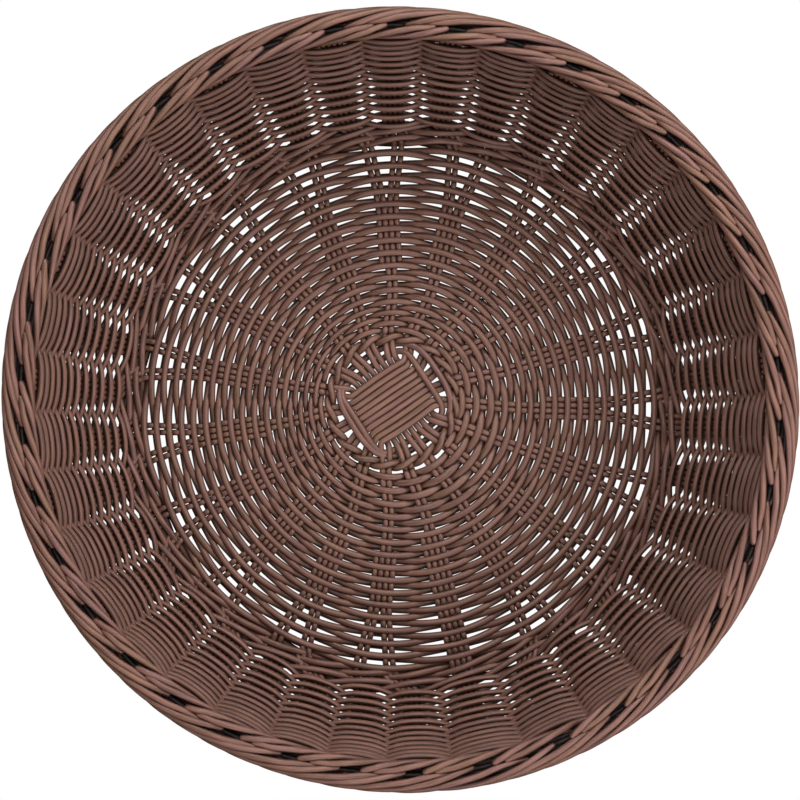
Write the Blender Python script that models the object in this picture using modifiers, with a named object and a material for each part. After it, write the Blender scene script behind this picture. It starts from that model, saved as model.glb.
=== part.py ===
"""A round woven bread basket of synthetic rattan, 400 mm across and 100 mm high.

Ten strands lie over nine in a cross at the middle of the base and fan out as 19 spokes. Further
out every spoke but one divides in two, which leaves 37 stakes, an odd number, so that a single
weaver goes over and under them by turns. Each stake is a flat group of strands laid side by side:
it runs out along the base, turns up the wall and stops under the rim. Two waled rings lock the
stakes where they turn up, woven bands close the wall, and an outer and an inner roll over a core
hoop make the rim.

The basket stands on the flat underside of its foot wale. The origin is the centre of that
underside and +Z points up. Units are metres and radians.
"""

import math

import bmesh
import bpy
from mathutils import Vector

MM = 0.001
COLLECTION = "bread_basket"

# ---- Driving dimensions ----
STRAND = 3.1 * MM                    # diameter of one strand
GAP = 0.4 * MM                       # clearance between pieces that touch on the real basket
SPOKES = 19
UNDIVIDED_SPOKE = 14                 # the one spoke that stays whole as a single stake
SPOKE_PHASE = math.radians(18.0)     # direction of spoke 0
SPOKE_STEP = math.tau / SPOKES

# The base, seen from above.
CROSS_LENGTH = 43.0 * MM             # length of each layer of the centre cross
CROSS_TURN = math.radians(34.0)      # direction of the upper layer's strands
UPPER_STRANDS = 10
LOWER_STRANDS = 9
STAKE_INNER = 27.8 * MM              # radius where a stake leaves the cross
LAID_IN = 72.0 * MM                  # radius where more strands are laid in beside the first
DIVIDE = 96.0 * MM                   # radius where a spoke starts to divide
DIVIDED = 131.0 * MM                 # radius where it has divided
DIVIDED_SPREAD = math.radians(3.6)   # angle of each half from the spoke's middle there
BASE_EDGE = 138.4 * MM
WEAVER_INNER = 31.5 * MM
WEAVER_OUTER = 136.8 * MM
WEAVER_TURNS = 8

# The base, from the side.
STAKE_THICKNESS = 3.0 * MM
WEAVE_THICKNESS = 2.4 * MM
BASE_MIDDLE = 5.2 * MM               # height of the stakes' mid-plane in the base
CROSS_LAYER = 2.7 * MM

# The wall's mid-line, which is the stakes' own.
BEND_RADIUS = 143.0 * MM
BEND_HEIGHT = 6.0 * MM
WALL_RADIUS = 146.5 * MM
WALL_HEIGHT = 8.7 * MM
WALL_RUN = 90.0 * MM                 # length up the slope
LEAN_BOTTOM = math.radians(52.0)     # slope from the horizontal at the bottom
LEAN_TOP = math.radians(75.0)        # and under the rim
WALL_BANDS = 5
WALL_STAKE_WIDTH = 11.0 * MM

# The rim: two rolls side by side over a core hoop.
ROLL_HEIGHT = 94.9 * MM
OUTER_ROLL_CENTRE = 194.9 * MM
OUTER_ROLL_RADIUS = 5.1 * MM
INNER_ROLL_CENTRE = 185.2 * MM
INNER_ROLL_RADIUS = 4.1 * MM
ROLL_SIDES = 8

# ---- Derived sizes ----
WEAVE_OFFSET = (STAKE_THICKNESS + WEAVE_THICKNESS) / 2 + GAP
STRAND_WIDTH = STRAND - 0.1 * MM
PAIR_WIDTH = 2 * STRAND_WIDTH
STAKES = 2 * SPOKES - 1
RING_SEGMENTS = 2 * STAKES
LEAN_RATE = (LEAN_TOP - LEAN_BOTTOM) / WALL_RUN
BAND_RUN = WALL_RUN / WALL_BANDS

# ---- Colours, linear ----
STRAND_COLOUR = (0.205, 0.112, 0.086, 1.0)
STAKE_COLOUR = (0.165, 0.090, 0.068, 1.0)
RIM_COLOUR = (0.245, 0.137, 0.106, 1.0)
CORE_COLOUR = (0.018, 0.015, 0.015, 1.0)


# ---- Helpers ----

def clear_scene():
    """Remove every object, so that the script gives the same scene each run."""
    for item in list(bpy.data.objects):
        bpy.data.objects.remove(item, do_unlink=True)


def new_collection(name):
    """Return an empty collection of this name, linked to the scene."""
    old = bpy.data.collections.get(name)
    if old:
        bpy.data.collections.remove(old)
    collection = bpy.data.collections.new(name)
    bpy.context.scene.collection.children.link(collection)
    return collection


def add_piece(name, mesh, colour, roughness=0.45):
    """Make one named sub-part from a mesh, with a material of its own."""
    material = bpy.data.materials.new(name)
    material.use_nodes = True
    shader = material.node_tree.nodes["Principled BSDF"]
    shader.inputs["Base Color"].default_value = colour
    shader.inputs["Roughness"].default_value = roughness
    shader.inputs["Metallic"].default_value = 0.0
    mesh.materials.append(material)
    piece = bpy.data.objects.new(name, mesh)
    bpy.data.collections[COLLECTION].objects.link(piece)
    return piece


def polar(radius, angle, height):
    """Point at a radius, a direction and a height."""
    return Vector((radius * math.cos(angle), radius * math.sin(angle), height))


def loft(name, sections, closed=False):
    """Skin a row of four-cornered sections into one solid, closed into a ring or capped."""
    mesh = bpy.data.meshes.new(name)
    build = bmesh.new()
    rows = [[build.verts.new(corner) for corner in section] for section in sections]
    pairs = list(zip(rows, rows[1:]))
    if closed:
        pairs.append((rows[-1], rows[0]))
    for row, following in pairs:
        for side in range(4):
            after = (side + 1) % 4
            build.faces.new((row[side], row[after], following[after], following[side]))
    if not closed:
        build.faces.new(rows[0])
        build.faces.new(rows[-1])
    bmesh.ops.recalc_face_normals(build, faces=build.faces)
    build.to_mesh(mesh)
    build.free()
    mesh.set_sharp_from_angle(angle=math.radians(40))
    return mesh


def turned_ring(name, profile, colour, roughness=0.45):
    """Turn a closed outline of (radius, height) points, clockwise seen from -Y, about Z."""
    mesh = bpy.data.meshes.new(name)
    corners = [(radius, 0.0, height) for radius, height in profile]
    edges = [(i, (i + 1) % len(corners)) for i in range(len(corners))]
    mesh.from_pydata(corners, edges, [])
    ring = add_piece(name, mesh, colour, roughness)
    screw = ring.modifiers.new("turn", "SCREW")
    screw.axis = "Z"
    screw.angle = math.tau
    screw.steps = RING_SEGMENTS
    screw.render_steps = RING_SEGMENTS
    screw.use_merge_vertices = True
    screw.merge_threshold = 0.00001
    screw.use_smooth_shade = True
    return ring


# ---- Where the spokes, stakes and wall run ----

def spoke_angle(spoke):
    return SPOKE_PHASE + spoke * SPOKE_STEP


def rib_lead(angle):
    """How far a rib stands ahead of its half spoke: neighbours close up on the undivided one."""
    turn = ((angle - spoke_angle(UNDIVIDED_SPOKE)) % math.tau) / math.tau
    return math.radians(2.2 - 7.2 * math.exp(-turn / 0.09) + 1.5 * turn * turn)


def stake_table():
    """List every stake as (spoke, side, wall angle); side is 0 for the undivided one."""
    stakes = []
    for spoke in range(SPOKES):
        if spoke == UNDIVIDED_SPOKE:
            stakes.append((spoke, 0, spoke_angle(spoke)))
            continue
        for side in (-1, 1):
            angle = spoke_angle(spoke) + side * SPOKE_STEP / 4
            stakes.append((spoke, side, angle + rib_lead(angle)))
    return stakes


def half_spread(radius):
    """Angle between a spoke's middle and the middle of each of its two stakes, in the base."""
    laid_in = radius >= LAID_IN
    beside = ((PAIR_WIDTH if laid_in else STRAND_WIDTH) + GAP) / 2 / radius
    if radius <= DIVIDE:
        return beside
    share = min((radius - DIVIDE) / (DIVIDED - DIVIDE), 1.0)
    return beside + (max(DIVIDED_SPREAD, beside) - beside) * share


def spoke_half_angle(spoke, radius):
    """Angle from a spoke's middle to its outer edge, in the base."""
    width = PAIR_WIDTH if radius >= LAID_IN else STRAND_WIDTH
    if spoke % SPOKES == UNDIVIDED_SPOKE:
        return (width + GAP / 2) / radius
    return half_spread(radius) + width / 2 / radius


def wall_point(run, inwards=0.0):
    """Radius and height at a run up the wall, moved inwards square to it."""
    lean = LEAN_BOTTOM + LEAN_RATE * run
    radius = WALL_RADIUS + (math.sin(lean) - math.sin(LEAN_BOTTOM)) / LEAN_RATE
    height = WALL_HEIGHT + (math.cos(LEAN_BOTTOM) - math.cos(lean)) / LEAN_RATE
    return radius - inwards * math.sin(lean), height + inwards * math.cos(lean)


# ---- Sub-parts ----

def make_centre_cross():
    """Two flat layers of strands, one across the other, at the middle of the base."""
    layers = (
        ("centre_cross_upper", UPPER_STRANDS, CROSS_TURN, 1),
        ("centre_cross_lower", LOWER_STRANDS, CROSS_TURN + math.pi / 2, -1),
    )
    for name, strands, turn, level in layers:
        bpy.ops.mesh.primitive_cube_add(size=1.0)
        cube = bpy.context.object
        mesh = cube.data
        bpy.data.objects.remove(cube, do_unlink=True)
        for vertex in mesh.vertices:
            vertex.co.x *= CROSS_LENGTH
            vertex.co.y *= strands * STRAND
            vertex.co.z *= CROSS_LAYER
        layer = add_piece(name, mesh, STRAND_COLOUR)
        layer.location.z = BASE_MIDDLE + level * (CROSS_LAYER + GAP) / 2
        layer.rotation_euler.z = turn


def stake_stations(spoke, side, wall_angle):
    """Yield (radius, height, lean, angle, width) along one stake, from the cross to the rim."""
    middle = spoke_angle(spoke)
    whole = 2 if side == 0 else 1
    radii = (STAKE_INNER, LAID_IN - 3 * MM, LAID_IN + 3 * MM, DIVIDE, BASE_EDGE)
    for radius in radii:
        width = PAIR_WIDTH if radius >= LAID_IN else STRAND_WIDTH
        angle = middle + side * half_spread(radius)
        yield radius, BASE_MIDDLE, 0.0, angle, whole * width
    edge_angle = middle + side * half_spread(BASE_EDGE)
    bend_width = (whole * PAIR_WIDTH + WALL_STAKE_WIDTH) / 2
    yield BEND_RADIUS, BEND_HEIGHT, LEAN_BOTTOM / 2, (edge_angle + wall_angle) / 2, bend_width
    for band in range(WALL_BANDS + 1):
        run = min(band * BAND_RUN, WALL_RUN - 0.5 * MM)
        radius, height = wall_point(run)
        yield radius, height, LEAN_BOTTOM + LEAN_RATE * run, wall_angle, WALL_STAKE_WIDTH


def make_stakes(stakes):
    """One flat strip for each stake, bent from the base up the wall."""
    half = STAKE_THICKNESS / 2
    for number, (spoke, side, wall_angle) in enumerate(stakes, 1):
        sections = []
        for radius, height, lean, angle, width in stake_stations(spoke, side, wall_angle):
            middle = polar(radius, angle, height)
            across = polar(width / 2, angle + math.pi / 2, 0.0)
            inwards = polar(-half * math.sin(lean), angle, half * math.cos(lean))
            sections.append((middle - across - inwards, middle + across - inwards,
                             middle + across + inwards, middle - across + inwards))
        name = "stake_%02d" % number
        add_piece(name, loft(name, sections), STAKE_COLOUR)


def make_base_weaver():
    """One spiral ribbon that goes over a spoke and under the next, by turns."""
    pitch = (WEAVER_OUTER - WEAVER_INNER + 2 * GAP) / (WEAVER_TURNS + 1)
    half_width = pitch / 2 - GAP
    half_thickness = WEAVE_THICKNESS / 2
    sections = []
    for crossing in range(WEAVER_TURNS * SPOKES + 1):
        radius = WEAVER_INNER + half_width + pitch * crossing / SPOKES
        level = BASE_MIDDLE + WEAVE_OFFSET * (1 if crossing % 2 == 0 else -1)
        ends = (radius - half_width, radius + half_width)
        reach = max(spoke_half_angle(crossing, end) + GAP / end for end in ends)
        for edge in (-reach, reach):
            angle = spoke_angle(crossing) + edge
            sections.append((polar(ends[0], angle, level - half_thickness),
                             polar(ends[1], angle, level - half_thickness),
                             polar(ends[1], angle, level + half_thickness),
                             polar(ends[0], angle, level + half_thickness)))
    add_piece("base_weaver", loft("base_weaver", sections), STRAND_COLOUR)


def make_wales():
    """The rings that lock the stakes' bend from below and from inside the corner."""
    foot = [(137.4, 0.0), (137.4, 3.2), (142.8, 3.2), (148.3, 6.2), (149.3, 4.6), (148.6, 1.6),
            (145.5, 0.0)]
    corner = [(137.4, 7.2), (137.4, 9.6), (141.7, 10.2), (143.2, 9.0), (141.0, 7.8)]
    turned_ring("foot_wale", [(r * MM, z * MM) for r, z in foot], STRAND_COLOUR)
    turned_ring("corner_wale", [(r * MM, z * MM) for r, z in corner], STRAND_COLOUR)


def make_wall_weave(stakes):
    """Woven bands, each inside one stake and outside the next.

    The count of stakes is odd, so each band passes one pair of neighbours on the same side. That
    place moves round the basket from band to band.
    """
    count = len(stakes)
    half_thickness = WEAVE_THICKNESS / 2
    for band in range(WALL_BANDS):
        bottom = band * BAND_RUN + GAP
        top = (band + 1) * BAND_RUN - GAP
        reach = (WALL_STAKE_WIDTH / 2 + GAP) / wall_point(bottom)[0]
        start = band * count // WALL_BANDS
        sections = []
        for step in range(count):
            angle = stakes[(start + step) % count][2]
            level = WEAVE_OFFSET * (1 if (step + band) % 2 == 0 else -1)
            faces = (level - half_thickness, level + half_thickness)
            corners = [wall_point(bottom, faces[0]), wall_point(bottom, faces[1]),
                       wall_point(top, faces[1]), wall_point(top, faces[0])]
            for edge in (-reach, reach):
                sections.append([polar(radius, angle + edge, height)
                                 for radius, height in corners])
        name = "wall_weave_%d" % (band + 1)
        add_piece(name, loft(name, sections, closed=True), STRAND_COLOUR)


def make_rim():
    """An outer and an inner roll, and the core hoop that they are folded over."""
    rolls = (
        ("rim_outer_roll", OUTER_ROLL_CENTRE, OUTER_ROLL_RADIUS),
        ("rim_inner_roll", INNER_ROLL_CENTRE, INNER_ROLL_RADIUS),
    )
    for name, centre, radius in rolls:
        turns = [-math.tau * side / ROLL_SIDES for side in range(ROLL_SIDES)]
        profile = [(centre + radius * math.cos(turn), ROLL_HEIGHT + radius * math.sin(turn))
                   for turn in turns]
        turned_ring(name, profile, RIM_COLOUR, 0.40)
    core = [(186.0, 88.6), (186.0, 90.2), (190.0, 90.2), (190.0, 88.6)]
    turned_ring("rim_core", [(r * MM, z * MM) for r, z in core], CORE_COLOUR, 0.7)


def main():
    clear_scene()
    new_collection(COLLECTION)
    stakes = stake_table()
    make_centre_cross()
    make_stakes(stakes)
    make_base_weaver()
    make_wales()
    make_wall_weave(stakes)
    make_rim()


main()
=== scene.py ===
"""The looks of a round woven bread basket of synthetic rattan: every strand is its own tube.

The woven sheet is one surface: flat across the base, turned up at its edge and leaning out up the
wall. A point on it is given by its run (the distance out from the middle, along the sheet), its
angle about the basket's axis, a sideways shift and a lift towards the inside of the basket. The
stakes, both weavers and the twined rows are all paths on that sheet. The rim's strands are wound
round two rolls instead. Lengths are in metres and angles in radians.
"""

import math

import bpy
import numpy as np
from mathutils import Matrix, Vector


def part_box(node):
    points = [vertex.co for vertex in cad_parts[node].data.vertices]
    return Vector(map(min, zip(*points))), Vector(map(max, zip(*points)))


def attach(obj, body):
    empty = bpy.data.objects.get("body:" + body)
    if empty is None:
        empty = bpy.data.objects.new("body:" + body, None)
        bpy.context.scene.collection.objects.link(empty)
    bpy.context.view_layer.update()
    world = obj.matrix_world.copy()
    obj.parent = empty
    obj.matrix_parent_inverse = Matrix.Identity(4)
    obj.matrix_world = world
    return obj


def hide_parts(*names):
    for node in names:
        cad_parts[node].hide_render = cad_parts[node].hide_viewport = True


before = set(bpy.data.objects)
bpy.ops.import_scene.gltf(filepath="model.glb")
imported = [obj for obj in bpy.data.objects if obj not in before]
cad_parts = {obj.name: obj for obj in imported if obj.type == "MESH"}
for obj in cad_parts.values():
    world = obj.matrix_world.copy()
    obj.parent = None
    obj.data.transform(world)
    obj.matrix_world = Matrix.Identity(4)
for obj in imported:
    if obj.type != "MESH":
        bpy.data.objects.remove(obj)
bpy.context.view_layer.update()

MM = 0.001
rng = np.random.default_rng(7)

# ---- Sizes and counts taken from the frame ----
RIM_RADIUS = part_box("rim_outer_roll")[1].x
RIM_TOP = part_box("rim_outer_roll")[1].z
RIM_INNER_RADIUS = RIM_RADIUS - 15.9 * MM           # of the rim's inner edge
BASE_MIDDLE = (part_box("base_weaver")[0].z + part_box("base_weaver")[1].z) / 2
STAKE_NODES = sorted(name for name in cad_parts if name.startswith("stake_"))
BAND_NODES = sorted(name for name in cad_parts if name.startswith("wall_weave_"))
STAKES = len(STAKE_NODES)
SPOKES = (STAKES + 1) // 2           # every spoke but one divides into two stakes

# ---- Strands ----
STRAND = 3.1 * MM                    # thickness of one strand
STAKE_WIDTH = 3.15 * MM              # widths, as some strands are pressed a little flat
CROSS_WIDTH = 3.4 * MM
WEAVER_WIDTH = 3.55 * MM
WALL_WIDTH = 3.2 * MM
WALL_THICKNESS = 2.8 * MM            # in the wall's lowest band
BAND_SWELLING = 0.08 * MM            # from each band to the next, as the rows close up
RIM_WIDTH = 3.4 * MM
SIDES = 12
STEP = 1.9 * MM                      # length of one tube segment
CLOSE_STEP = 1.4 * MM                # where a strand bends tightly
BASE_STEP = 2.4 * MM                 # in the base's long spiral

# ---- Spokes and stakes ----
UNDIVIDED_SPOKE = 14
SPOKE_PHASE = math.radians(18.0)
SPOKE_STEP = math.tau / SPOKES
SPOKE_SHIFT = 0.52                   # from a spoke's line to its two strands, in strands
LAID_IN_RUN = 76 * MM                # run where a second strand joins each spoke strand
LAID_IN_SPREAD = (-4, 6)             # how far about that run a strand may start, in millimetres
DIVIDE_RUN = 104 * MM
DIVIDED_RUN = 147 * MM
TURN_START, TURN_END = 136 * MM, 159 * MM           # where a stake moves over to its wall place
INSERT_RUN = 142.5 * MM              # where two more strands are pushed in beside each stake
WHOLE_SPACING = 1.02                 # between the undivided spoke's strands, in strands
HALF_SHIFT = 3.15                    # from a spoke's line to a half's middle, in millimetres
HALF_PARTING = 5.3                   # what dividing adds to that
BASE_SPACING = 3.15                  # between a half's strands, in millimetres
SPACING_GAIN = 0.8                   # what dividing adds to that
WALL_SPACING = 2.85 * MM             # between a stake's strands on the wall
LEAD = 2.2                           # of stakes on their half spokes, in degrees
LEAD_LOST = 7.2                      # at the undivided spoke, in degrees
LEAD_RECOVERY = 0.09                 # turns over which that fades
LEAD_GAIN = 1.5                      # over the whole turn, in degrees
STAKE_POINTS_STEP = 0.6 * MM

# ---- The sheet ----
WALL_TOP = 242.5 * MM
SHEET_LEAN = ((143.4, 0), (153, 57), (185, 61), (205, 70), (242.5, 80.5))   # degrees at runs in mm
SHEET_END = 250 * MM
SHEET_POINTS = 2501

# ---- How the basket has settled ----
OVAL = 0.010                         # how far the rim and the base are pulled, as a share
RIM_LONG_WAY = math.radians(157)
BASE_LONG_WAY = math.radians(90)
CORNERS = -0.0025                    # how far the rim's four corners are pulled
CENTRED_RADIUS, CENTRING = 34 * MM, 30 * MM         # where the cross's shift ends, and over what

# ---- Centre cross ----
CROSS_TURN = math.radians(34)
CROSS_CENTRE = np.array([-4.2, 2.1]) * MM
UPPER_STRANDS = 10
LOWER_STRANDS = 9
UPPER_PITCH = 3.25 * MM
LOWER_PITCH = 3.6 * MM
CROSS_HALF = 16.5 * MM               # half the length of the flat square in the middle
CROSS_BOW = 0.035                    # how much wider the square is across its middle
FAN_END = 36.5 * MM                  # radius where a cross strand has become a spoke strand
FAN_LEVEL_END = 0.55                 # share of the fan where its strands are at one level
FAN_OUT_PULL = 0.38                  # how far a fan's curve follows its spoke
FAN_START_PULL = (0.16, 0.42)        # and its square, from the most bent strand to the least
SEAM_ROW = 4                         # row of the base weaver that hides an even spoke's seams

# ---- Weavers ----
CROSSING_STEP = 0.04                 # between two points on a weaver, in crossings
WALE_STEP = 0.05
# How far a strand wanders, and the slowest of its waves in the units it is counted in.
BASE_WANDER = (0.16 * MM, 23)
TWINED_WANDER = (0.15 * MM, 11)
WALE_WANDER = (0.15 * MM, 17)
WALL_WANDER = (0.12 * MM, 29)
CORE_WANDER = (0.2 * MM, 1.5)
# How long a strand stays level at its crossings.
TUCK_FLATNESS = 0.5
TWINED_FLATNESS = 0.6
WALL_FLATNESS = 0.9
BINDER_FLATNESS = 1.4

# ---- Base weave ----
BASE_START = 27.8 * MM               # radius that the base spiral is counted from
BASE_PITCH = 3.29 * MM               # gained each turn
BASE_FIRST = 54.0                    # crossings before the spiral itself begins
BASE_LAST = 647.5
BASE_LIFT = 1.75 * MM
BASE_FLATNESS = ((35, 0.7), (60, 1.3), (130, 2.0))  # at runs in millimetres
BASE_TUCK = ((35, 0.22), (75, 0.30), (104, 0.50), (112, 0.75), (130, 1.12))   # both in millimetres
BASE_GIVE = 1.35 * MM                # how far a spoke strand gives way at each crossing
GIVE_START, GIVE_RISE = 33 * MM, 4 * MM
GIVE_END, GIVE_FALL = 141.5 * MM, 3 * MM
# A binder's reach ahead, left, behind and right of the cross's middle in millimetres, and how
# square it is.
BINDERS = ((21.5, 22.0, 21.8, 22.0, 6), (29.0, 27.5, 25.0, 27.0, 3))
BINDER_LIFT = 3.5 * MM
TWINED_RUN = 33.8 * MM
TWINED_SWING = 1.5 * MM
TWINED_LIFT = 2.5 * MM

# ---- Wales ----
FOOT_WALE_RUN = 142.4 * MM
CORNER_WALE_RUN = 148.4 * MM
FOOT_WALE_AHEAD = 0.45 * math.pi     # how far its swing runs ahead of its lift
CORNER_WALE_AHEAD = 0.55 * math.pi
WALE_SWING = 1.9 * MM
WALE_INSIDE = 2.6 * MM               # lifts: inside, outside between stakes and outside at them
WALE_BELOW = -3.65 * MM
WALE_UNDER = -3.0 * MM

# ---- Wall weave ----
WALL_START = 152.4 * MM
WALL_PITCH = 3.55 * MM
WALL_ROWS = 25
WALL_LIFT = 3.2 * MM
WALL_GIVE = 0.6 * MM                 # how far a stake gives way at each crossing
WALL_GIVE_RISE = 3 * MM


# ---- Small helpers ----

def smoothstep(x):
    x = np.clip(x, 0.0, 1.0)
    return x * x * (3 - 2 * x)


def smooth_curve(x, knots):
    """Values at x on a smooth curve through (place, value) knots."""
    places, values = np.array(knots, float).T
    slopes = np.gradient(values, places)
    i = np.clip(np.searchsorted(places, x) - 1, 0, len(places) - 2)
    span = places[i + 1] - places[i]
    s = (x - places[i]) / span
    start = (1 + 2 * s) * (1 - s) ** 2 * values[i] + s * (1 - s) ** 2 * span * slopes[i]
    end = s * s * (3 - 2 * s) * values[i + 1] + s * s * (s - 1) * span * slopes[i + 1]
    return start + end


def crossing_wave(t, flatness):
    """+1 over at even crossings and -1 under at odd ones, level for longer with more flatness."""
    c = np.cos(math.pi * t)
    return c * np.sqrt((1 + flatness**2) / (1 + (flatness * c) ** 2))


def crossings(first, last, step):
    """Places from one crossing to another, a step apart."""
    return np.arange(first, last + step / 2, step)


def wander(t, size, slowest, waves=5):
    """A smooth irregular shift along t, of about this size, that repeats nowhere."""
    total = np.zeros_like(t, float)
    for _ in range(waves):
        rate = math.tau / (slowest * rng.uniform(0.25, 1.0))
        total += np.sin(rate * t + rng.uniform(0, math.tau))
    return total * size / math.sqrt(waves / 2)


def spoke_angle(spoke):
    return SPOKE_PHASE + spoke * SPOKE_STEP


def stake_places():
    """(spoke, side) of every stake, where side is -1 or +1 for a half and 0 for a whole spoke."""
    places = []
    for spoke in range(SPOKES):
        sides = (0,) if spoke == UNDIVIDED_SPOKE else (-1, 1)
        places += [(spoke, side) for side in sides]
    return places


def stake_angle(spoke, side):
    """Angle of a stake on the wall, which creeps forward of its half spoke round the basket."""
    angle = spoke_angle(spoke)
    if side == 0:
        return angle
    turn = ((angle - spoke_angle(UNDIVIDED_SPOKE)) % math.tau) / math.tau
    lead = LEAD - LEAD_LOST * math.exp(-turn / LEAD_RECOVERY) + LEAD_GAIN * turn**2
    return angle + side * SPOKE_STEP / 4 + math.radians(lead)


STAKE_PLACES = stake_places()
STAKE_ANGLES = np.unwrap([stake_angle(*place) for place in STAKE_PLACES])


def angle_at_stake(t):
    """Angle at a place counted in stakes, going round as often as t says."""
    turns = np.floor(t / STAKES)
    angles = np.append(STAKE_ANGLES, STAKE_ANGLES[0] + math.tau)
    return np.interp(t - turns * STAKES, np.arange(STAKES + 1), angles) + turns * math.tau


# ---- The sheet's shape ----

RUNS = np.linspace(0, SHEET_END, SHEET_POINTS)
LEANS = np.radians(np.interp(RUNS / MM, *zip(*SHEET_LEAN)))
RUN_STEP = RUNS[1] - RUNS[0]
RADII = np.concatenate(([0], np.cumsum(np.cos(LEANS[:-1]) * RUN_STEP)))
HEIGHTS = BASE_MIDDLE + np.concatenate(([0], np.cumsum(np.sin(LEANS[:-1]) * RUN_STEP)))


def settled(points):
    """Pull the rim and the base a little oval, each its own way, and the cross off centre."""
    angle = np.arctan2(points[:, 1], points[:, 0])
    radius = np.hypot(points[:, 0], points[:, 1])
    shift = CROSS_CENTRE * (1 - smoothstep((radius - CENTRED_RADIUS) / CENTRING))[:, None]
    up = np.clip(points[:, 2] / RIM_TOP, 0, 1)
    rim_pull = OVAL * up * np.cos(2 * (angle - RIM_LONG_WAY))
    base_pull = OVAL * (1 - up) * np.cos(2 * (angle - BASE_LONG_WAY))
    corners_pull = CORNERS * np.cos(4 * angle) * up
    scale = 1 + rim_pull + base_pull + corners_pull
    flat = points[:, :2] * scale[:, None] + shift
    return np.column_stack((flat, points[:, 2]))


def in_space(radius, angle, height, sideways, lean):
    """Points and their normals, as the six columns of a path."""
    c, s = np.cos(angle), np.sin(angle)
    x = radius * c - sideways * s
    y = radius * s + sideways * c
    normal = (-np.sin(lean) * c, -np.sin(lean) * s, np.cos(lean))
    return np.column_stack(np.broadcast_arrays(x, y, height, *normal))


def on_sheet(run, angle, sideways=0.0, lift=0.0):
    """A path on the woven sheet."""
    lean = np.interp(run, RUNS, LEANS)
    radius = np.interp(run, RUNS, RADII) - lift * np.sin(lean)
    height = np.interp(run, RUNS, HEIGHTS) + lift * np.cos(lean)
    return in_space(radius, angle, height, sideways, lean)


# ---- Tubes ----

def resampled(path, step):
    """The same path with its points spread evenly, about a step apart, and their places along it."""
    gaps = np.linalg.norm(np.diff(path[:, :3], axis=0), axis=1)
    along = np.concatenate(([0], np.cumsum(gaps)))
    places = np.linspace(0, along[-1], max(3, round(along[-1] / step) + 1))
    columns = [np.interp(places, along, column) for column in path.T]
    return np.column_stack(columns), places


def unit(vectors):
    return vectors / np.linalg.norm(vectors, axis=1, keepdims=True)


class Strands:
    """Tubes gathered into one mesh, which remember where on its strand each point lies."""

    CAP = ((0.42, 0.90), (0.75, 0.66), (0.95, 0.30))   # (reach, size) of an end's rings, in radii

    def __init__(self):
        self.points, self.faces, self.places, self.tones = [], [], [], []
        self.count = 0

    def add(self, path, width=STRAND, tone=None, thickness=STRAND, sides=SIDES, step=STEP):
        """Lay one tube with rounded ends along a path."""
        tone = rng.uniform() if tone is None else tone
        radius = thickness / 2
        path, along = resampled(path, step)
        centres, ups = path[:, :3], path[:, 3:]
        ahead = unit(np.gradient(centres, axis=0))
        across = unit(np.cross(ahead, ups))
        ups = np.cross(across, ahead)
        first, last = centres[0], centres[-1]
        radii = np.full(len(centres), radius)
        for reach, size in self.CAP:
            push = reach * radius
            centres = np.vstack((first - ahead[0] * push, centres, last + ahead[-1] * push))
            radii = np.concatenate(([size * radius], radii, [size * radius]))
        tips = np.array([first - ahead[0] * radius, last + ahead[-1] * radius])
        caps = len(self.CAP)
        across = np.pad(across, ((caps, caps), (0, 0)), mode="edge")
        ups = np.pad(ups, ((caps, caps), (0, 0)), mode="edge")
        along = np.pad(along, caps, mode="edge")
        round_angles = np.arange(sides) * math.tau / sides
        c, s = np.cos(round_angles), np.sin(round_angles)
        flat = width / thickness
        ring = c[None, :, None] * ups[:, None, :] + s[None, :, None] * flat * across[:, None, :]
        points = (centres[:, None, :] + radii[:, None, None] * ring).reshape(-1, 3)
        self._join(len(centres), sides)
        self.points += [points, tips]
        rings = len(along)
        places = np.column_stack((np.repeat(along, sides), np.tile(c, rings), np.tile(s, rings)))
        self.places += [places, [[along[0], 0, 0], [along[-1], 0, 0]]]
        self.tones.append(np.full(len(points) + 2, tone))
        self.count += len(points) + 2

    def _join(self, rings, sides):
        """Faces between a tube's rings, and between its end rings and their tips."""
        first = self.count
        index = first + np.arange(rings * sides).reshape(rings, sides)
        after = np.roll(index, -1, axis=1)
        quads = np.stack((index[:-1], after[:-1], after[1:], index[1:]), axis=-1).reshape(-1, 4)
        start, end = first + rings * sides, first + rings * sides + 1
        self.faces += quads.tolist()
        self.faces += [(start, b, a) for a, b in zip(index[0].tolist(), after[0].tolist())]
        self.faces += [(end, a, b) for a, b in zip(index[-1].tolist(), after[-1].tolist())]

    def piece(self, name, nodes, slot, material):
        """Make the gathered tubes one named piece that stands for these CAD nodes."""
        mesh = bpy.data.meshes.new(name)
        points = settled(np.vstack(self.points))
        mesh.from_pydata(points.tolist(), [], self.faces)
        mesh.shade_smooth()
        strand = mesh.attributes.new("strand", "FLOAT_VECTOR", "POINT")
        strand.data.foreach_set("vector", np.vstack(self.places).astype(np.float32).ravel())
        tone = mesh.attributes.new("tone", "FLOAT", "POINT")
        tone.data.foreach_set("value", np.concatenate(self.tones).astype(np.float32))
        mesh.materials.append(material)
        made = bpy.data.objects.new(name, mesh)
        bpy.context.scene.collection.objects.link(made)
        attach(made, "root")
        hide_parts(*nodes)
        return made


# ---- Materials ----

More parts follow.
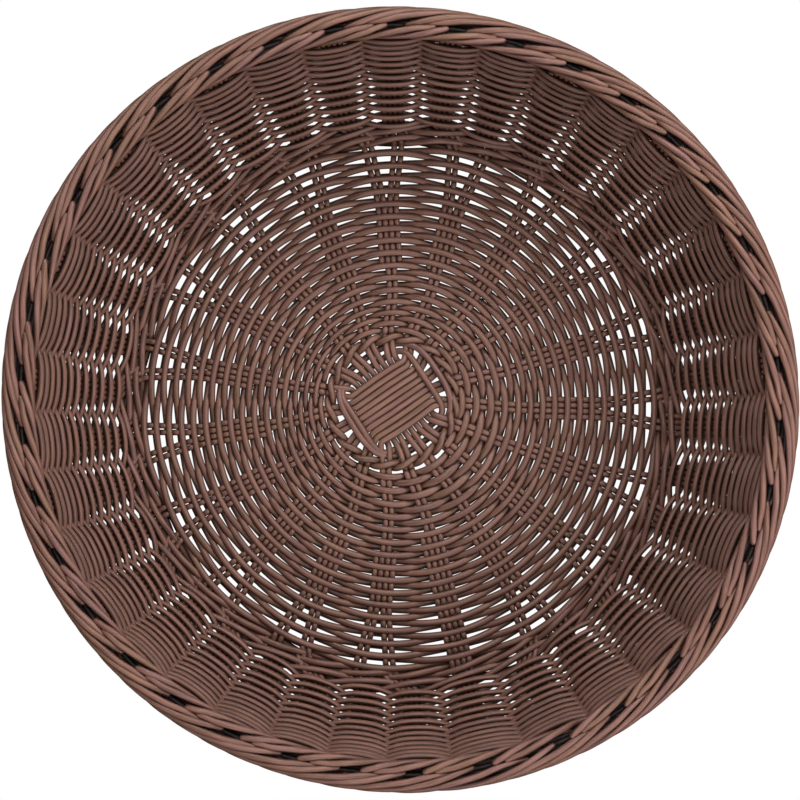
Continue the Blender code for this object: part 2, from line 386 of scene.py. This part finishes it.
# Each noise is (changes a metre along the strand, changes round it, detail).
DRIFT_NOISE = (14, 0.12, 1.0)
STREAK_NOISE = (70, 1.5, 3.0)
GRAIN_NOISE = (420, 3.2, 2.0)
SEED_SPREAD = 37.0                   # how far apart two strands' noises lie
DRIFT_SHARE = 1.7                    # how much the drift counts beside a strand's own tone
STREAK = 0.38                        # how much lighter or darker a streak is
STREAK_FROM, STREAK_TO = 0.3, 0.7    # range of the noise that makes the streaks
SIDE_SHADE = 0.38                    # how dark a strand's sides are: painted shade, where the strand turns from the light
SIDE_END = 0.85                      # height on the strand where that ends, in radii
HOLLOW_SHADE = 0.34                  # how dark the hollows of the weave are, as painted shade from an occlusion node
HOLLOW_FROM, HOLLOW_TO = 0.22, 0.80  # openness of a hollow at its darkest and at its end
HOLLOW_REACH = 5 * MM
HOLLOW_SAMPLES = 4
SHADE_TINT = (1.0, 0.84, 0.70, 1.0)  # what painted shade takes from the strand's colour, as it turns warmer
WHITE = (1.0, 1.0, 1.0, 1.0)
BLACK = (0.0, 0.0, 0.0, 1.0)
SHEEN_LEVEL = 0.5
ROUGHNESS_SPREAD = 0.10
RELIEF = 0.35
RELIEF_DEPTH = 0.12 * MM


def linear(red, green, blue):
    """A screen colour of 0 to 255 a channel as the linear colour that a shader takes."""
    def channel(value):
        value /= 255
        return value / 12.92 if value <= 0.04045 else ((value + 0.055) / 1.055) ** 2.4
    return (channel(red), channel(green), channel(blue), 1.0)


SHEEN_TINT = linear(255, 230, 228)
STRAND_BROWNS = (                    # from mauve to tan
    linear(142, 100, 91),
    linear(147, 105, 92),
    linear(138, 96, 81),
    linear(143, 101, 85),
    linear(139, 101, 81),
)
CORE_BLACKS = (linear(26, 22, 22), linear(38, 33, 33))
CORE_ROUGHNESS = 0.55
# Each part's brightness lightens or darkens the same browns: painted light and shade for how brightly
# that part is lit.
PART_BRIGHTNESS_AND_ROUGHNESS = {                   # brightness and roughness
    "woven_strand": (0.465, 0.42),
    "wall_strand_brown": (0.53, 0.44),
    "cross_strand_brown": (0.51, 0.46),
    "stake_strand_brown": (0.46, 0.50),
    "rim_strand_brown": (0.57, 0.42),
}


class StrandShader:
    """The nodes of one strand material.

    They read two attributes of the tubes: strand, which is (distance along the strand, height on
    it, shift across it), the last two in radii, and tone, which is a number for each strand.
    """

    def __init__(self, name):
        self.material = bpy.data.materials.new(name)
        self.material.use_nodes = True
        self.tree = self.material.node_tree
        self.place = self.node("ShaderNodeAttribute", attribute_name="strand")["Vector"]
        self.tone = self.node("ShaderNodeAttribute", attribute_name="tone")["Fac"]
        self.seed = self.maths("MULTIPLY", self.tone, SEED_SPREAD)

    def node(self, kind, inputs=None, **settings):
        """Add a node and return its outputs."""
        made = self.tree.nodes.new(kind)
        for key, value in settings.items():
            setattr(made, key, value)
        self.feed(made, inputs or {})
        return made.outputs

    def feed(self, node, inputs):
        """Give a node its inputs, each a fixed value or another node's output."""
        for key, value in inputs.items():
            if isinstance(value, bpy.types.NodeSocket):
                self.tree.links.new(value, node.inputs[key])
            else:
                node.inputs[key].default_value = value

    def maths(self, operation, *values):
        return self.node("ShaderNodeMath", dict(enumerate(values)), operation=operation)[0]

    def vector_maths(self, operation, inputs):
        return self.node("ShaderNodeVectorMath", inputs, operation=operation)[0]

    def ranged(self, inputs, **settings):
        return self.node("ShaderNodeMapRange", inputs, **settings)["Result"]

    def noise(self, per_metre, around, detail):
        """Noise that is stretched along the strand and differs from strand to strand."""
        stretched = self.vector_maths("MULTIPLY", {0: self.place, 1: (per_metre, around, around)})
        inputs = {"Vector": stretched, "W": self.seed, "Scale": 1.0, "Detail": detail}
        return self.node("ShaderNodeTexNoise", inputs, noise_dimensions="4D")["Fac"]

    def drifting(self, colours):
        """A colour of the strand's own, out of these, that drifts a little along it."""
        drift = self.noise(*DRIFT_NOISE)
        mixed = self.maths("MULTIPLY_ADD", drift, DRIFT_SHARE, self.tone)
        centred = self.maths("SUBTRACT", mixed, DRIFT_SHARE / 2)
        ramp = self.tree.nodes.new("ShaderNodeValToRGB")
        stops = ramp.color_ramp.elements
        for i, colour in enumerate(colours):
            place = i / (len(colours) - 1)
            stop = stops[i] if i < 2 else stops.new(place)
            stop.position = place
            stop.color = colour
        self.feed(ramp, {"Fac": centred})
        return ramp.outputs["Color"]

    def streaked(self, colour, streaks):
        """The colour with lighter and darker streaks."""
        scale = self.ranged({
            "Value": streaks,
            "From Min": STREAK_FROM,
            "From Max": STREAK_TO,
            "To Min": 1 - STREAK,
            "To Max": 1 + STREAK,
        })
        return self.vector_maths("SCALE", {0: colour, "Scale": scale})

    def painted_shade(self, colour):
        """Painted shade: the colour made darker and warmer on the strand's sides and in the weave's
        hollows.
        """
        parts = self.node("ShaderNodeSeparateXYZ", {0: self.place})
        height = self.maths("ABSOLUTE", parts["Y"])
        sides = {"Value": height, "From Max": SIDE_END, "To Min": SIDE_SHADE}
        side_shade = self.ranged(sides, interpolation_type="SMOOTHSTEP")
        reach = {"Distance": HOLLOW_REACH}
        openness = self.node("ShaderNodeAmbientOcclusion", reach, samples=HOLLOW_SAMPLES)["AO"]
        hollow_shade = self.ranged({
            "Value": openness,
            "From Min": HOLLOW_FROM,
            "From Max": HOLLOW_TO,
            "To Min": HOLLOW_SHADE,
        })
        shade = self.maths("MULTIPLY", side_shade, hollow_shade)
        tints = {"Fac": shade, "Color1": SHADE_TINT, "Color2": WHITE}
        tint = self.node("ShaderNodeMixRGB", tints)["Color"]
        tinted = self.vector_maths("MULTIPLY", {0: colour, 1: tint})
        return self.vector_maths("SCALE", {0: tinted, "Scale": shade})

    def relief(self):
        """A fine lengthwise grain on the strand's surface."""
        grain = self.noise(*GRAIN_NOISE)
        inputs = {"Strength": RELIEF, "Distance": RELIEF_DEPTH, "Height": grain}
        return self.node("ShaderNodeBump", inputs)["Normal"]


def strand_material(name, colours, roughness):
    """Extruded plastic strand: its colour drifts along it, with fine lengthwise streaks."""
    shader = StrandShader(name)
    streaks = shader.noise(*STREAK_NOISE)
    dullness = shader.ranged({
        "Value": streaks,
        "To Min": roughness - ROUGHNESS_SPREAD,
        "To Max": roughness + ROUGHNESS_SPREAD,
    })
    shader.feed(shader.tree.nodes["Principled BSDF"], {
        # the base colour carries painted shade on the strands' sides and in the weave's hollows
        "Base Color": shader.painted_shade(shader.streaked(shader.drifting(colours), streaks)),
        "Specular IOR Level": SHEEN_LEVEL,
        "Specular Tint": SHEEN_TINT,
        "Roughness": dullness,
        "Normal": shader.relief(),
    })
    return shader.material


def brown_material(name):
    """One of the brown strand materials, by its brightness and roughness; the differences in
    brightness between parts are painted light and shade.
    """
    level, roughness = PART_BRIGHTNESS_AND_ROUGHNESS[name]
    colours = [tuple(level * channel for channel in brown[:3]) + (1.0,) for brown in STRAND_BROWNS]
    return strand_material(name, colours, roughness)


# ---- Centre cross ----

def spoke_path(spoke, side, first, last):
    """One of a spoke's two first strands in the base, between two runs."""
    run = np.linspace(first, last, 60)
    return on_sheet(run, spoke_angle(spoke), side * STRAND * SPOKE_SHIFT, spoke_give(run, spoke))


def spoke_give(run, spoke):
    """How far a spoke's strands give way to the base weaver, which goes over and under them."""
    row = (run - BASE_START) / BASE_PITCH - spoke / SPOKES
    fade = smoothstep((run - GIVE_START) / GIVE_RISE) * smoothstep((GIVE_END - run) / GIVE_FALL)
    return -BASE_GIVE * fade * np.cos(math.pi * (row + spoke))


def seam_run(spoke):
    """The run where a spoke strand is handed from the cross to the stakes, under a crossing."""
    row = SEAM_ROW + spoke % 2
    return BASE_START + BASE_PITCH * (spoke / SPOKES + row)


def cross_slots():
    """The spoke strands that each layer's two ends become, as (spoke, side), by angle."""
    slots = [(spoke % SPOKES, side) for spoke in range(SPOKES - 1, 2 * SPOKES - 1) for side in (-1, 1)]
    first = slots[:UPPER_STRANDS]
    second = slots[UPPER_STRANDS:UPPER_STRANDS + LOWER_STRANDS]
    third = slots[UPPER_STRANDS + LOWER_STRANDS:2 * UPPER_STRANDS + LOWER_STRANDS]
    fourth = slots[2 * UPPER_STRANDS + LOWER_STRANDS:]
    return (first, third[::-1]), (second, fourth[::-1])


def facing_up(flat, height):
    """A path whose normals all point straight up."""
    count = len(flat)
    return np.column_stack((flat, height, np.zeros((count, 2)), np.ones(count)))


def fan(start, heading, spoke, side, level):
    """From the cross's square out to a spoke, as points and heights, ending at the seam."""
    angle = spoke_angle(spoke)
    ray = np.array([math.cos(angle), math.sin(angle)])
    left = np.array([-ray[1], ray[0]])
    end = ray * FAN_END + left * side * STRAND * SPOKE_SHIFT
    reach = np.linalg.norm(end - start)
    bend = 1 - float(heading @ ray)
    least, most = FAN_START_PULL
    handles = start + heading * reach * max(least, most - bend), end - ray * reach * FAN_OUT_PULL
    s = np.linspace(0, 1, 40)[:, None]
    flat = ((1 - s) ** 3 * start + 3 * s * (1 - s) ** 2 * handles[0]
            + 3 * s * s * (1 - s) * handles[1] + s**3 * end)
    height = BASE_MIDDLE + level * (1 - smoothstep(s[:, 0] / FAN_LEVEL_END))
    path = facing_up(flat, height)
    return np.vstack((path[:-1], spoke_path(spoke, side, FAN_END, seam_run(spoke))))


def cross_strand(heading_angle, offset, level, near, far):
    """One strand across the middle, from the seam at one end to the seam at the other."""
    heading = np.array([math.cos(heading_angle), math.sin(heading_angle)])
    left = np.array([-heading[1], heading[0]])
    along = np.linspace(-CROSS_HALF, CROSS_HALF, 24)
    bow = 1 + CROSS_BOW * (1 - (along / CROSS_HALF) ** 2)
    flat = along[:, None] * heading + (offset * bow)[:, None] * left
    middle = facing_up(flat, np.full(len(flat), BASE_MIDDLE + level))
    ahead = fan(flat[-1], heading, *near, level)
    behind = fan(flat[0], -heading, *far, level)
    return np.vstack((behind[::-1][:-1], middle, ahead[1:]))


def make_cross(material):
    """Both layers of the centre cross."""
    upper, lower = cross_slots()
    half = 0.5 * STRAND
    layers = (
        ("upper", CROSS_TURN, UPPER_STRANDS, UPPER_PITCH, half, upper),
        ("lower", CROSS_TURN + math.pi / 2, LOWER_STRANDS, LOWER_PITCH, -half, lower),
    )
    for layer, heading, number, pitch, level, (near, far) in layers:
        strands = Strands()
        for i in range(number):
            offset = (i - (number - 1) / 2) * pitch
            path = cross_strand(heading, offset, level, near[i], far[i])
            strands.add(path, CROSS_WIDTH, step=CLOSE_STEP)
        strands.piece(f"cross_{layer}_strands", [f"centre_cross_{layer}"], "weaving_strand", material)


# ---- Stakes ----

def stake_path(spoke, side, place, first):
    """One strand of a stake, from a run in the base to the top of the wall.

    The place counts from the spoke's or stake's middle, in strands: a half or one and a half.
    """
    index = STAKE_PLACES.index((spoke, side))
    run = np.arange(first, WALL_TOP, STAKE_POINTS_STEP)
    divided = smoothstep((run - DIVIDE_RUN) / (DIVIDED_RUN - DIVIDE_RUN))
    turned = smoothstep((run - TURN_START) / (TURN_END - TURN_START))
    if side == 0:
        in_base = place * STRAND * WHOLE_SPACING
    else:
        half_shift = side * (HALF_SHIFT + HALF_PARTING * divided) * MM
        in_base = half_shift + place * (BASE_SPACING + SPACING_GAIN * divided) * MM
    stake = stake_angle(spoke, side)
    angle = spoke_angle(spoke) + (stake - spoke_angle(spoke)) * turned
    sideways = in_base * (1 - turned) + place * WALL_SPACING * turned
    row = (run - WALL_START) / WALL_PITCH - index / STAKES
    fade = smoothstep((run - WALL_START + 2 * MM) / WALL_GIVE_RISE)
    wall_give = -WALL_GIVE * fade * np.cos(math.pi * (row + index))
    return on_sheet(run, angle, sideways, spoke_give(run, spoke) + wall_give)


def make_stakes(material):
    """The stakes, each with its spoke strand, one laid in beside it and two pushed in later."""
    for node, (spoke, side) in zip(STAKE_NODES, STAKE_PLACES):
        strands = Strands()
        laid_in = LAID_IN_RUN + rng.uniform(*LAID_IN_SPREAD) * MM
        seam = seam_run(spoke)
        if side == 0:
            starts = {-0.5: seam, 0.5: seam, -1.5: laid_in, 1.5: laid_in}
        else:
            starts = {-0.5 * side: seam, 0.5 * side: laid_in, -1.5: INSERT_RUN, 1.5: INSERT_RUN}
        for place, first in starts.items():
            strands.add(stake_path(spoke, side, place, first), STAKE_WIDTH)
        strands.piece(f"{node}_strands", [node], "stake_strand", material)


# ---- Weavers ----

def base_weaver_path():
    """The single strand that goes over and under the spokes in a spiral."""
    t = np.arange(BASE_FIRST, BASE_LAST, CROSSING_STEP)
    run = BASE_START + BASE_PITCH * t / SPOKES
    wave = crossing_wave(t, np.interp(run / MM, *zip(*BASE_FLATNESS)))
    tuck = np.interp(run / MM, *zip(*BASE_TUCK)) * MM
    shift = tuck * crossing_wave(t, TUCK_FLATNESS) + wander(t, *BASE_WANDER)
    return on_sheet(run + shift, spoke_angle(0) + t * SPOKE_STEP, 0.0, BASE_LIFT * wave)


def binder_paths():
    """Two strands that bind the cross: over its upper layer's ends and under its lower layer's.

    Each is a rounded square, given by how far it reaches to its four sides.
    """
    angle = np.linspace(0, math.tau, 300)
    c, s = np.cos(angle), np.sin(angle)
    for ahead, left, behind, right, squareness in BINDERS:
        reach_u = np.where(c > 0, ahead, behind) * MM
        reach_v = np.where(s > 0, left, right) * MM
        sum_of_powers = np.abs(c / reach_u) ** squareness + np.abs(s / reach_v) ** squareness
        radius = sum_of_powers ** (-1 / squareness)
        lift = BINDER_LIFT * crossing_wave(2 * angle / math.pi, BINDER_FLATNESS)
        yield in_space(radius, angle + CROSS_TURN, BASE_MIDDLE + lift, 0.0, 0.0)


def first_twined_path():
    """The twined round that parts the spokes: one strand, twice round, over every spoke in all."""
    t = crossings(0, 2 * SPOKES, CROSSING_STEP)
    wave = crossing_wave(t, TWINED_FLATNESS)
    swing = TWINED_SWING * np.cos(math.pi * (t + 0.5))
    run = TWINED_RUN + swing + wander(t, *TWINED_WANDER)
    return on_sheet(run, spoke_angle(0) + t * SPOKE_STEP, 0.0, TWINED_LIFT * wave)


def make_base_weave(material):
    """Everything woven into the base between the cross and the wales."""
    strands = Strands()
    for path in binder_paths():
        strands.add(path, WEAVER_WIDTH, step=CLOSE_STEP)
    strands.add(first_twined_path(), WEAVER_WIDTH, step=CLOSE_STEP)
    strands.add(base_weaver_path(), WEAVER_WIDTH, step=BASE_STEP)
    strands.piece("base_weaver_strand", ["base_weaver"], "weaving_strand", material)


def waled_path(run, turn_ahead):
    """A three-strand wale as one strand, three times round: over one stake, then under two."""
    t = crossings(0, 3 * STAKES, WALE_STEP)
    third = math.tau * t / 3
    second_wave = (WALE_INSIDE + 3 * WALE_BELOW - 4 * WALE_UNDER) / 6
    level = (WALE_INSIDE + WALE_BELOW) / 2 - second_wave
    first_wave = (WALE_INSIDE - WALE_BELOW) / 2
    lift = level + first_wave * np.cos(third) + second_wave * np.cos(2 * third)
    place = run + WALE_SWING * np.cos(third + turn_ahead) + wander(t, *WALE_WANDER)
    return on_sheet(place, angle_at_stake(t), 0.0, lift)


def make_wales(material):
    """The two waled rows that lock the stakes where they turn up."""
    wales = (
        ("foot_wale", FOOT_WALE_RUN, FOOT_WALE_AHEAD),
        ("corner_wale", CORNER_WALE_RUN, CORNER_WALE_AHEAD),
    )
    for node, run, turn_ahead in wales:
        strands = Strands()
        strands.add(waled_path(run, turn_ahead), WEAVER_WIDTH)
        strands.piece(f"{node}_strands", [node], "weaving_strand", material)


def wall_weaver_path(first, last):
    """The wall's single spiral between two crossings."""
    t = crossings(first, last, CROSSING_STEP)
    run = WALL_START + WALL_PITCH * t / STAKES
    wave = crossing_wave(t, WALL_FLATNESS)
    shift = wander(t, *WALL_WANDER)
    return on_sheet(run + shift, angle_at_stake(t), 0.0, WALL_LIFT * wave)


def make_wall(material):
    """The wall's weaver in bands, which meet behind a stake."""
    bands = len(BAND_NODES)
    ends = [2 * round(WALL_ROWS * STAKES * i / bands / 2) - 1 for i in range(bands + 1)]
    for band, node in enumerate(BAND_NODES):
        strands = Strands()
        path = wall_weaver_path(ends[band], ends[band + 1])
        swelling = band * BAND_SWELLING
        strands.add(path, WALL_WIDTH + swelling, tone=0.5, thickness=WALL_THICKNESS + swelling)
        strands.piece(f"wall_weaver_{band + 1}", [node], "weaving_strand", material)


# ---- Rim ----

# A roll is (radius and height of its middle, half its width and half its height).
OUTER_ROLL = (RIM_RADIUS - 6.0 * MM, RIM_TOP - 5.95 * MM, 4.5 * MM, 4.4 * MM)
INNER_ROLL = (RIM_INNER_RADIUS + 3.0 * MM, RIM_TOP - 4.9 * MM, 2.9 * MM, 3.2 * MM)
# Each rim strand is wound round a roll. Its knots are (degrees on from its hole in the rim, degrees
# round the roll), and 0 round the roll points outwards, 90 up and 180 inwards. Its depths are
# (degrees on from its hole, millimetres below the roll's surface).
OVER_STRAND = ((-26, -110), (-18, 0), (-12.2, 44), (-10.2, 60), (-8.2, 77), (-6.2, 97), (-4.2, 121),
               (-2.4, 147), (-1.8, 158))
OVER_DEPTH = ((-26, 0.9), (-18, 0.5), (-12, 0.0))
TUCKED_STRAND = ((-21, -110), (-12.5, 0), (-7.2, 47), (-4.8, 67), (-2.8, 81), (-0.8, 94), (1.2, 113),
                 (3.2, 130), (5.0, 142), (6.5, 155))
TUCK_DEPTH = ((-21, 0.9), (-12.5, 0.5), (-7, 0), (1.2, 0), (3.2, 0.4), (5.0, 1.2), (6.5, 2.4))
FIRST_INNER_STRAND = ((1.6, 42), (2, 56), (3.2, 82), (4.2, 104), (6.2, 136), (8.2, 165), (10, 185),
                      (12, 215), (14, 250))
SECOND_INNER_STRAND = ((3.6, 40), (4.2, 52), (6.2, 70), (8.2, 96), (10.2, 121), (12.2, 149),
                       (13.5, 165), (16, 210), (18, 250))
ON_SURFACE = ((-90, 0), (90, 0))
HOLE_LAG = math.radians(0.6)         # from a stake back to its hole
WINDING_SLIP = 2.5                   # how far strands slip round a roll and along it, in degrees
PLACE_SLIP = 0.18
OUTER_STEP = 1.3 * MM
INNER_STEP = 1.1 * MM
# Each core hoop is (in from the rim's edge, down from its top), in millimetres.
CORE_HOOPS = ((14.2, 10.6), (11.8, 10.0), (9.4, 9.6), (7.0, 9.8), (4.6, 10.0), (6.2, 6.4),
              (13.4, 13.0), (10.8, 12.4))
CORE_STEP = 2.5 * MM
HAIRS = 900
HAIR = 0.18 * MM                     # thickness of the core's fine hairs
HAIR_POINTS = 6
HAIR_BAND = (-11.5, -7.5)            # from the rim's edge, in millimetres
HAIR_LEVEL = -8.3                    # from the rim's top, in millimetres
HAIR_RISE = 0.8                      # at most, in millimetres
HAIR_TURNS = (0.012, 0.03)           # least and most length round the rim, in radians
HAIR_DRIFT = 2                       # towards or away from the axis, at most, in millimetres
HAIR_SIDES = 4
HAIR_STEP = 1.0 * MM


def wound(hole, knots, roll, depth=ON_SURFACE):
    """A path round a roll through a strand's knots."""
    radius, height, half_width, half_height = roll
    degrees = np.arange(knots[0][0], knots[-1][0] + 0.01, 0.1)
    turn = np.radians(smooth_curve(degrees, knots) + rng.normal(0, WINDING_SLIP))
    sunk = np.interp(degrees, *zip(*depth)) * MM
    r = radius + (half_width - sunk) * np.cos(turn)
    z = height + (half_height - sunk) * np.sin(turn)
    angle = hole + np.radians(degrees + rng.normal(0, PLACE_SLIP))
    c, s = np.cos(angle), np.sin(angle)
    return np.column_stack((r * c, r * s, z, np.cos(turn) * c, np.cos(turn) * s, np.sin(turn)))


def make_rim(material):
    """The outer and inner rolls of diagonal strands."""
    outer, inner = Strands(), Strands()
    for angle in STAKE_ANGLES:
        hole = angle - HOLE_LAG
        outer.add(wound(hole, OVER_STRAND, OUTER_ROLL, OVER_DEPTH), RIM_WIDTH, step=OUTER_STEP)
        outer.add(wound(hole, TUCKED_STRAND, OUTER_ROLL, TUCK_DEPTH), RIM_WIDTH, step=OUTER_STEP)
        for knots in (FIRST_INNER_STRAND, SECOND_INNER_STRAND):
            inner.add(wound(hole, knots, INNER_ROLL), RIM_WIDTH, step=INNER_STEP)
    outer.piece("rim_outer_strands", ["rim_outer_roll"], "rim_strand", material)
    inner.piece("rim_inner_strands", ["rim_inner_roll"], "rim_strand", material)


def hair_path():
    """One fine hair on the core, where a hole in the rim may show it."""
    start = rng.uniform(0, math.tau)
    angle = start + np.linspace(0, rng.uniform(*HAIR_TURNS), HAIR_POINTS)
    outwards = rng.uniform(*HAIR_BAND)
    outwards = outwards + np.linspace(0, rng.uniform(-HAIR_DRIFT, HAIR_DRIFT), HAIR_POINTS)
    rise = rng.uniform(0, HAIR_RISE) * np.sin(np.linspace(0, math.pi, HAIR_POINTS))
    height = RIM_TOP + (HAIR_LEVEL + rise) * MM
    return in_space(RIM_RADIUS + outwards * MM, angle, height, 0.0, 0.0)


def make_core(material):
    """The dark hoops that the rim is wound on, with the fine hairs that show in its holes."""
    core = Strands()
    for inwards, down in CORE_HOOPS:
        angle = np.linspace(0, math.tau, 400)
        radius = RIM_RADIUS - inwards * MM + wander(angle, *CORE_WANDER)
        core.add(in_space(radius, angle, RIM_TOP - down * MM, 0.0, 0.0), step=CORE_STEP)
    for _ in range(HAIRS):
        core.add(hair_path(), HAIR, thickness=HAIR, sides=HAIR_SIDES, step=HAIR_STEP)
    core.piece("rim_core_hoops", ["rim_core"], "core", material)


# ---- Stage, light and camera ----

FLOOR_RADIUS = 3.0
FLOOR_BEND = 1.0                     # radius of the curve from the floor up into the wall
BACKDROP_TOP = 3.5
BACKDROP_SEGMENTS = 64
BEND_STEPS = 8
MIDDLE_RADIUS = 1 * MM               # of the face that closes the floor's middle
STOP_SEGMENTS = 32
WORLD_LIGHT = 0.02
BOX_SHARES = (1.2, 1.5, 1.5, 0.8, 0.1, 0.35, 1.05, 1.2)    # of the soft boxes, round from the right
BOX_DISTANCE = 1.2
BOX_ELEVATION = math.radians(38)
BOX_SIZE = 0.35
BOX_POWER = 3.6
TOP_PLACE = (0.1, 0.2, 1.4)
TOP_SIZE = 0.5
TOP_POWER = 7.0
CAMERA_TILT = math.radians(3.0)
CAMERA_DISTANCE = 1.3
SENSOR_WIDTH = 36.0
WIDTH_SEEN = 2.004 * RIM_RADIUS
CAMERA_TARGET = Vector((-0.15 * MM, -1.9 * MM, RIM_TOP - 2 * MM))


def plain_material(name, values):
    """A material with one fixed value for each of these shader inputs."""
    material = bpy.data.materials.new(name)
    material.use_nodes = True
    shader = material.node_tree.nodes["Principled BSDF"]
    for key, value in values.items():
        shader.inputs[key].default_value = value
    return material


def stage_object(name, points, faces, material):
    """Something in the scene that isn't part of the basket."""
    mesh = bpy.data.meshes.new(name)
    mesh.from_pydata(points, [], faces)
    mesh.materials.append(material)
    made = bpy.data.objects.new(name, mesh)
    bpy.context.scene.collection.objects.link(made)
    return made


def circle(radius, height, segments):
    angles = [math.tau * i / segments for i in range(segments)]
    return [(radius * math.cos(angle), radius * math.sin(angle), height) for angle in angles]


def make_backdrop():
    """A white floor that curves up into a wall far behind the basket."""
    profile = [(MIDDLE_RADIUS, 0.0), (FLOOR_RADIUS, 0.0)]
    for i in range(1, BEND_STEPS + 1):
        turn = math.pi / 2 * i / BEND_STEPS
        out = FLOOR_RADIUS + FLOOR_BEND * math.sin(turn)
        profile.append((out, FLOOR_BEND * (1 - math.cos(turn))))
    profile.append((FLOOR_RADIUS + FLOOR_BEND, BACKDROP_TOP))
    points = []
    for radius, height in profile:
        points += circle(radius, height, BACKDROP_SEGMENTS)
    faces = []
    for row in range(len(profile) - 1):
        first = row * BACKDROP_SEGMENTS
        for i in range(BACKDROP_SEGMENTS):
            a, b = first + i, first + (i + 1) % BACKDROP_SEGMENTS
            faces.append((a, a + BACKDROP_SEGMENTS, b + BACKDROP_SEGMENTS, b))
    faces.append(tuple(range(BACKDROP_SEGMENTS)))
    white = plain_material("white_backdrop", {
        "Base Color": BLACK,
        "Specular IOR Level": 0.0,
        "Emission Color": WHITE,
        "Emission Strength": 1.0,
    })
    backdrop = stage_object("backdrop", points, faces, white)
    backdrop.data.shade_smooth()
    backdrop.visible_diffuse = False
    backdrop.visible_glossy = False
    backdrop.visible_shadow = False


def make_light_stop():
    """A black disc under the floor, out of the camera's sight, that lets no light up through it."""
    black = plain_material("black_cloth", {
        "Base Color": BLACK,
        "Roughness": 1.0,
        "Specular IOR Level": 0.0,
    })
    ring = circle(FLOOR_RADIUS, -1 * MM, STOP_SEGMENTS)
    stop = stage_object("light_stop", ring, [tuple(range(STOP_SEGMENTS))], black)
    stop.visible_camera = False


def add_area_light(name, place, size, power, aim):
    """A square soft light that points at a place on the basket."""
    light = bpy.data.lights.new(name, "AREA")
    light.shape = "SQUARE"
    light.size = size
    light.energy = power
    lamp = bpy.data.objects.new(name, light)
    bpy.context.scene.collection.objects.link(lamp)
    lamp.location = place
    lamp.rotation_euler = (Vector(place) - Vector(aim)).to_track_quat("Z", "Y").to_euler()
    lamp.visible_camera = False


def make_lights():
    """Soft boxes all round at a slant, so that the hollows of the weave stay dark."""
    world = bpy.data.worlds.new("studio")
    world.use_nodes = True
    background = world.node_tree.nodes["Background"]
    background.inputs["Color"].default_value = WHITE
    background.inputs["Strength"].default_value = WORLD_LIGHT
    bpy.context.scene.world = world
    middle = (0.0, 0.0, RIM_TOP / 2)
    flat = BOX_DISTANCE * math.cos(BOX_ELEVATION)
    height = BOX_DISTANCE * math.sin(BOX_ELEVATION)
    places = circle(flat, height, len(BOX_SHARES))
    for i, (place, share) in enumerate(zip(places, BOX_SHARES), 1):
        add_area_light(f"soft_box_{i}", place, BOX_SIZE, share * BOX_POWER, middle)
    add_area_light("top_light", TOP_PLACE, TOP_SIZE, TOP_POWER, middle)


def make_camera():
    """Looks almost straight down, from just off the basket's axis."""
    back = Vector((0.0, -math.sin(CAMERA_TILT), math.cos(CAMERA_TILT)))
    data = bpy.data.cameras.new("camera")
    data.sensor_width = SENSOR_WIDTH
    data.lens = SENSOR_WIDTH * CAMERA_DISTANCE / WIDTH_SEEN
    camera = bpy.data.objects.new("camera", data)
    bpy.context.scene.collection.objects.link(camera)
    camera.location = CAMERA_TARGET + back * CAMERA_DISTANCE
    camera.rotation_euler = back.to_track_quat("Z", "Y").to_euler()
    bpy.context.scene.camera = camera


def main():
    bpy.context.scene.view_settings.view_transform = "Standard"
    make_camera()
    make_lights()
    make_backdrop()
    make_light_stop()
    woven = brown_material("woven_strand")
    make_cross(brown_material("cross_strand_brown"))
    make_stakes(brown_material("stake_strand_brown"))
    make_base_weave(woven)
    make_wales(woven)
    make_wall(brown_material("wall_strand_brown"))
    make_rim(brown_material("rim_strand_brown"))
    make_core(strand_material("core_black", CORE_BLACKS, CORE_ROUGHNESS))


main()
